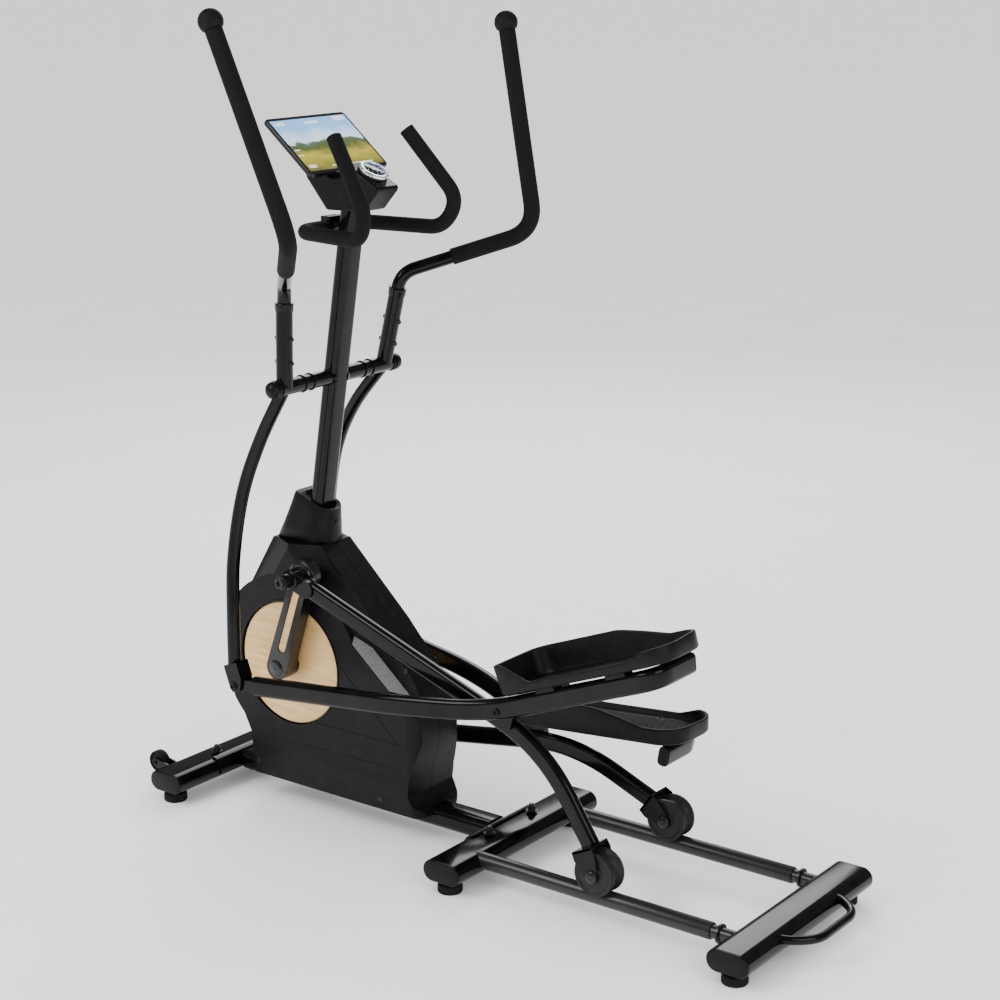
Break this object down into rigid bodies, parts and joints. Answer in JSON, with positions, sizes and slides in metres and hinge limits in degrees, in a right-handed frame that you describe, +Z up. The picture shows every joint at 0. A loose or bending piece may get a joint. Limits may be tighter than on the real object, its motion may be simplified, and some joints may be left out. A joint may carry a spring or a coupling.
{
  "type": "elliptical trainer",
  "caption": "Home elliptical cross trainer with swinging arms, crank-driven pedals rolling on rails, flywheel housing, mast, fixed handlebar, console and tablet.",
  "frame": {"origin": "centre of the footprint on the floor, midway between the two sides", "axes": "+Z up, -X the way the user faces (towards the front cross foot), +Y towards the user's right"},
  "size_m": [1.5582, 0.7268, 1.6364],
  "materials": {
    "gloss_frame": "gloss black powder coat",
    "satin_rail": "satin dark coat",
    "housing": "fine matt moulded texture",
    "dark_plastic": "matt moulded",
    "tread": "matt ribbed",
    "crank_black": "satin black",
    "roller": "semi-matt urethane",
    "foam": "closed-cell foam, speckled",
    "rubber": "matt",
    "belt": "matt",
    "disc_wood": "light wood grain, satin",
    "steel": "bare",
    "silver": "silver rim with a blue ring",
    "screen": "gloss screen in a black bezel"
  },
  "bodies": {
    "frame": {"main_beam": "gloss_frame", "front_stabilizer": "gloss_frame", "middle_stabilizer": "gloss_frame", "rear_stabilizer": "gloss_frame", "carry_handle": "gloss_frame", "frame_post": "gloss_frame", "mast": "gloss_frame", "rocker_axle": "gloss_frame", "left_rail": "satin_rail", "right_rail": "satin_rail", "left_housing": "housing", "right_housing": "housing", "mast_cover": "housing", "belt": "belt", "servo_motor": "dark_plastic", "fixed_handlebar": "gloss_frame", "left_fixed_grip": "foam", "right_fixed_grip": "foam", "console_body": "dark_plastic"},
    "crankset": {"crank_axle": "steel", "drive_pulley": "dark_plastic", "left_crank": "crank_black", "right_crank": "crank_black", "left_disc": "disc_wood", "right_disc": "disc_wood"},
    "flywheel": {"flywheel": "steel"},
    "idler": {"idler_pulley": "steel"},
    "brake": {"magnet_bracket": "steel"},
    "dial": {"console_dial": "silver"},
    "tablet": {"tablet": "screen"},
    "left_arm": {"left_swing_arm": "gloss_frame", "left_handlebar": "gloss_frame", "left_grip": "foam", "left_ball_cap": "rubber", "left_axle_cap": "dark_plastic"},
    "right_arm": {"right_swing_arm": "gloss_frame", "right_handlebar": "gloss_frame", "right_grip": "foam", "right_ball_cap": "rubber", "right_axle_cap": "dark_plastic"},
    "left_bar": {"left_pedal_bar": "gloss_frame", "left_footplate": "tread"},
    "left_rod": {"left_rod": "gloss_frame", "left_roller_axle": "dark_plastic"},
    "left_roller": {"left_roller": "roller"},
    "left_transport_wheel": {"left_transport_wheel": "rubber"},
    "right_bar": {"right_pedal_bar": "gloss_frame", "right_footplate": "tread"},
    "right_rod": {"right_rod": "gloss_frame", "right_roller_axle": "dark_plastic"},
    "right_roller": {"right_roller": "roller"},
    "right_transport_wheel": {"right_transport_wheel": "rubber"},
    "front_left_foot": {"front_left_foot": "rubber"},
    "front_right_foot": {"front_right_foot": "rubber"},
    "middle_left_foot": {"middle_left_foot": "rubber"},
    "middle_right_foot": {"middle_right_foot": "rubber"},
    "rear_left_foot": {"rear_left_foot": "rubber"},
    "rear_right_foot": {"rear_right_foot": "rubber"}
  },
  "joints": [
    {"name": "left_swing", "type": "hinge", "parent": "frame", "child": "left_arm", "pos_m": [-0.3854, 0, 0.914], "axis": [0, 1, 0], "range_deg": [-4, 15]},
    {"name": "right_swing", "type": "hinge", "parent": "frame", "child": "right_arm", "pos_m": [-0.3854, 0, 0.914], "axis": [0, 1, 0], "range_deg": [-14.5, 4.2]},
    {"name": "crank_turn", "type": "hinge", "parent": "frame", "child": "crankset", "pos_m": [-0.4614, 0, 0.316], "axis": [0, 1, 0], "continuous": true},
    {"name": "left_rod_slide", "type": "slide", "parent": "frame", "child": "left_rod", "axis": [1, 0, 0], "range_m": [-0.165, 0.046]},
    {"name": "right_rod_slide", "type": "slide", "parent": "frame", "child": "right_rod", "axis": [1, 0, 0], "range_m": [-0.044, 0.156]},
    {"name": "left_bar_pivot", "type": "hinge", "parent": "left_arm", "child": "left_bar", "pos_m": [-0.4729, 0, 0.30677], "axis": [0, 1, 0], "range_deg": [-12.5, 3.6]},
    {"name": "right_bar_pivot", "type": "hinge", "parent": "right_arm", "child": "right_bar", "pos_m": [-0.60226, 0, 0.34011], "axis": [0, 1, 0], "range_deg": [-3.2, 11.1]},
    {"name": "left_roller_spin", "type": "hinge", "parent": "left_rod", "child": "left_roller", "pos_m": [0.35806, 0, 0.10056], "axis": [0, 1, 0], "continuous": true},
    {"name": "right_roller_spin", "type": "hinge", "parent": "right_rod", "child": "right_roller", "pos_m": [0.32722, 0, 0.10056], "axis": [0, 1, 0], "continuous": true},
    {"name": "flywheel_spin", "type": "hinge", "parent": "frame", "child": "flywheel", "pos_m": [-0.2754, 0, 0.2], "axis": [0, 1, 0], "continuous": true},
    {"name": "idler_spin", "type": "hinge", "parent": "frame", "child": "idler", "pos_m": [-0.3704, 0, 0.16], "axis": [0, 1, 0], "continuous": true},
    {"name": "brake_swing", "type": "hinge", "parent": "frame", "child": "brake", "pos_m": [-0.2674, 0, 0.309], "axis": [0, -1, 0], "range_deg": [0, 8]},
    {"name": "dial_turn", "type": "hinge", "parent": "frame", "child": "dial", "pos_m": [-0.2824, 0, 1.3182], "axis": [0.4802, 0, 0.8771], "continuous": true},
    {"name": "tablet_lift", "type": "slide", "parent": "frame", "child": "tablet", "axis": [-0.766, 0, 0.6428], "range_m": [0, 0.2]},
    {"name": "left_transport_spin", "type": "hinge", "parent": "frame", "child": "left_transport_wheel", "pos_m": [-0.7564, -0.165, 0.062], "axis": [0, 1, 0], "continuous": true},
    {"name": "right_transport_spin", "type": "hinge", "parent": "frame", "child": "right_transport_wheel", "pos_m": [-0.7564, 0.165, 0.062], "axis": [0, 1, 0], "continuous": true},
    {"name": "front_left_foot_turn", "type": "hinge", "parent": "frame", "child": "front_left_foot", "pos_m": [-0.6864, -0.191, 0], "axis": [0, 0, 1], "continuous": true},
    {"name": "front_right_foot_turn", "type": "hinge", "parent": "frame", "child": "front_right_foot", "pos_m": [-0.6864, 0.191, 0], "axis": [0, 0, 1], "continuous": true},
    {"name": "middle_left_foot_turn", "type": "hinge", "parent": "frame", "child": "middle_left_foot", "pos_m": [0.0546, -0.203, 0], "axis": [0, 0, 1], "continuous": true},
    {"name": "middle_right_foot_turn", "type": "hinge", "parent": "frame", "child": "middle_right_foot", "pos_m": [0.0546, 0.203, 0], "axis": [0, 0, 1], "continuous": true},
    {"name": "rear_left_foot_turn", "type": "hinge", "parent": "frame", "child": "rear_left_foot", "pos_m": [0.6806, -0.201, 0], "axis": [0, 0, 1], "continuous": true},
    {"name": "rear_right_foot_turn", "type": "hinge", "parent": "frame", "child": "rear_right_foot", "pos_m": [0.6806, 0.201, 0], "axis": [0, 0, 1], "continuous": true}
  ],
  "couplings": [
    {"joint": "right_swing", "follows": "left_swing", "ratio": -0.927},
    {"joint": "crank_turn", "follows": "left_swing", "ratio": -2.7},
    {"joint": "left_rod_slide", "follows": "left_swing", "m_per_rad": -0.607},
    {"joint": "right_rod_slide", "follows": "left_swing", "m_per_rad": 0.575},
    {"joint": "left_bar_pivot", "follows": "left_swing", "ratio": -0.803},
    {"joint": "right_bar_pivot", "follows": "left_swing", "ratio": 0.708},
    {"joint": "left_roller_spin", "follows": "left_swing", "ratio": -19.46},
    {"joint": "right_roller_spin", "follows": "left_swing", "ratio": 18.43},
    {"joint": "flywheel_spin", "follows": "left_swing", "ratio": -12.15},
    {"joint": "idler_spin", "follows": "left_swing", "ratio": 23.44}
  ]
}
